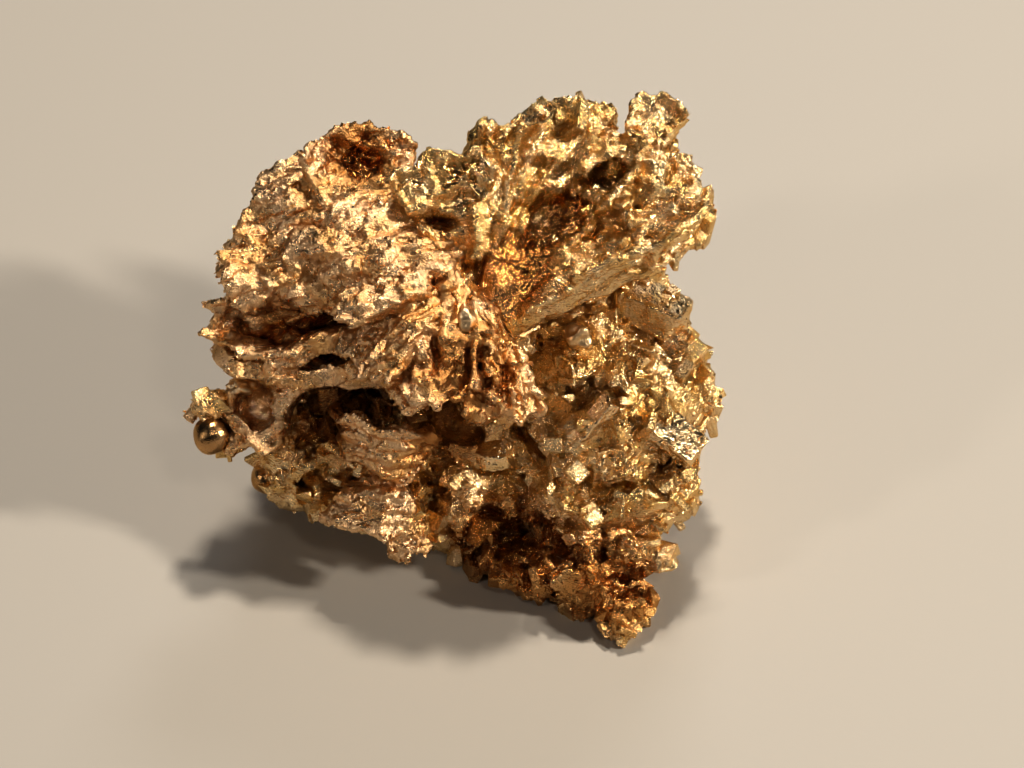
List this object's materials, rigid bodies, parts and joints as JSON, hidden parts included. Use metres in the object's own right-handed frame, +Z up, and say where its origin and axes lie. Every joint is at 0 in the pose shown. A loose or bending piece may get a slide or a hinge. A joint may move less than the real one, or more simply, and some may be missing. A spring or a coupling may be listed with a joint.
{
  "type": "gold nugget",
  "caption": "Crystallised gold nugget: fans of wavy leaf gold over a craggy body of small grown-together crystals, resting on its rough underside.",
  "frame": {"origin": "middle of the nugget's box, at the height of the surface that it rests on", "axes": "+Z up, +X along its longest side to the right as seen from the front, -Y towards the front, where the leaves show"},
  "size_m": [0.0268, 0.0232, 0.022],
  "materials": {
    "gold": "native gold, bright facets and sugary grain, deep orange in its hollows"
  },
  "bodies": {
    "root": {"nugget": "gold"}
  },
  "joints": []
}
